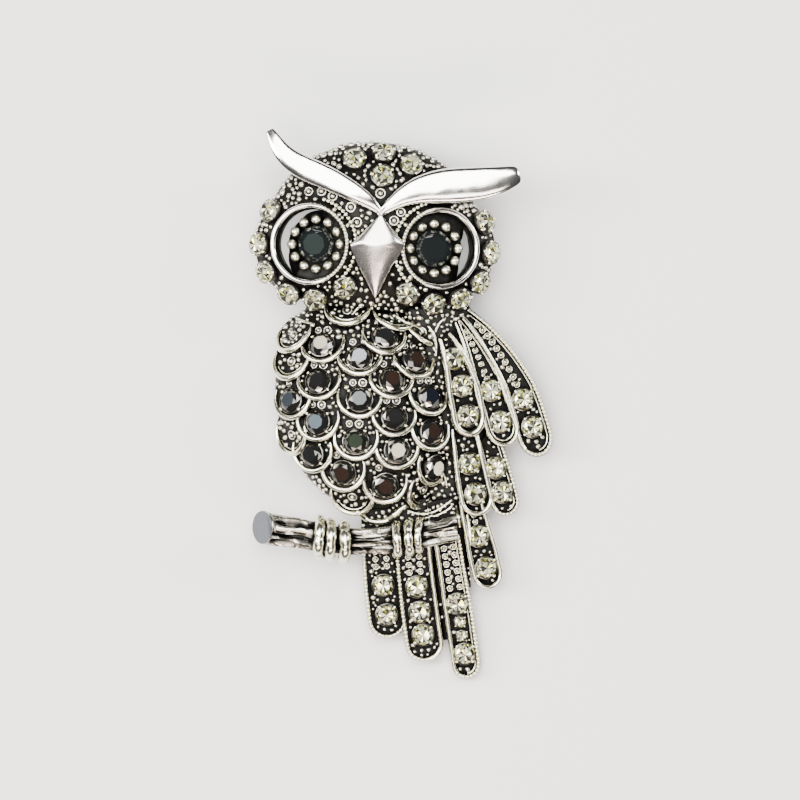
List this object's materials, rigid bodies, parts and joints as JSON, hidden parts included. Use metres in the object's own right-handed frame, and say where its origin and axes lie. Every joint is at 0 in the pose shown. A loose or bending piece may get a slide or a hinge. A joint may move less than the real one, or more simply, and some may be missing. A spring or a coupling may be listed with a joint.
{
  "type": "owl brooch",
  "caption": "Owl-on-branch brooch: hollow-backed silver-coloured castings with beaded, stone-set scales, feathers and cheeks, polished brows and beak, and a closed bar pin behind.",
  "frame": {"origin": "on the surface that the brooch lies on, under the middle of its outline", "axes": "+Y from the tail to the head, +Z out of the brooch's face"},
  "size_m": [0.0345, 0.0618, 0.011],
  "materials": {
    "silver_casting": "antique silver plate, black in the recesses",
    "pin_steel": "bright plated pin",
    "clear_stone": "foil-backed clear cut glass",
    "dark_stone": "dark grey mirror-bright cut glass",
    "black_stone": "black cut glass"
  },
  "bodies": {
    "root": {"body_casting": "silver_casting", "head_casting": "silver_casting", "pin_clasp": "pin_steel", "wing_stones": "clear_stone", "tail_stones": "clear_stone", "eye_stone_left": "black_stone", "eye_stone_right": "black_stone", "belly_stone_1": "dark_stone", "belly_stone_2": "dark_stone", "belly_stone_3": "dark_stone", "belly_stone_4": "dark_stone", "belly_stone_5": "dark_stone", "belly_stone_6": "dark_stone", "belly_stone_7": "dark_stone", "belly_stone_8": "dark_stone", "belly_stone_9": "dark_stone", "belly_stone_10": "dark_stone", "belly_stone_11": "dark_stone", "belly_stone_12": "dark_stone", "belly_stone_13": "dark_stone", "belly_stone_14": "dark_stone", "belly_stone_15": "dark_stone", "belly_stone_16": "dark_stone", "belly_stone_17": "dark_stone", "belly_stone_18": "dark_stone", "crown_stone_1": "clear_stone", "crown_stone_2": "clear_stone", "crown_stone_3": "clear_stone", "crown_stone_4": "clear_stone", "cheek_stone_left_1": "clear_stone", "cheek_stone_left_2": "clear_stone", "cheek_stone_left_3": "clear_stone", "cheek_stone_left_4": "clear_stone", "cheek_stone_left_5": "clear_stone", "cheek_stone_left_6": "clear_stone", "cheek_stone_right_1": "clear_stone", "cheek_stone_right_2": "clear_stone", "cheek_stone_right_3": "clear_stone", "cheek_stone_right_4": "clear_stone", "cheek_stone_right_5": "clear_stone", "cheek_stone_right_6": "clear_stone"}
  },
  "joints": []
}
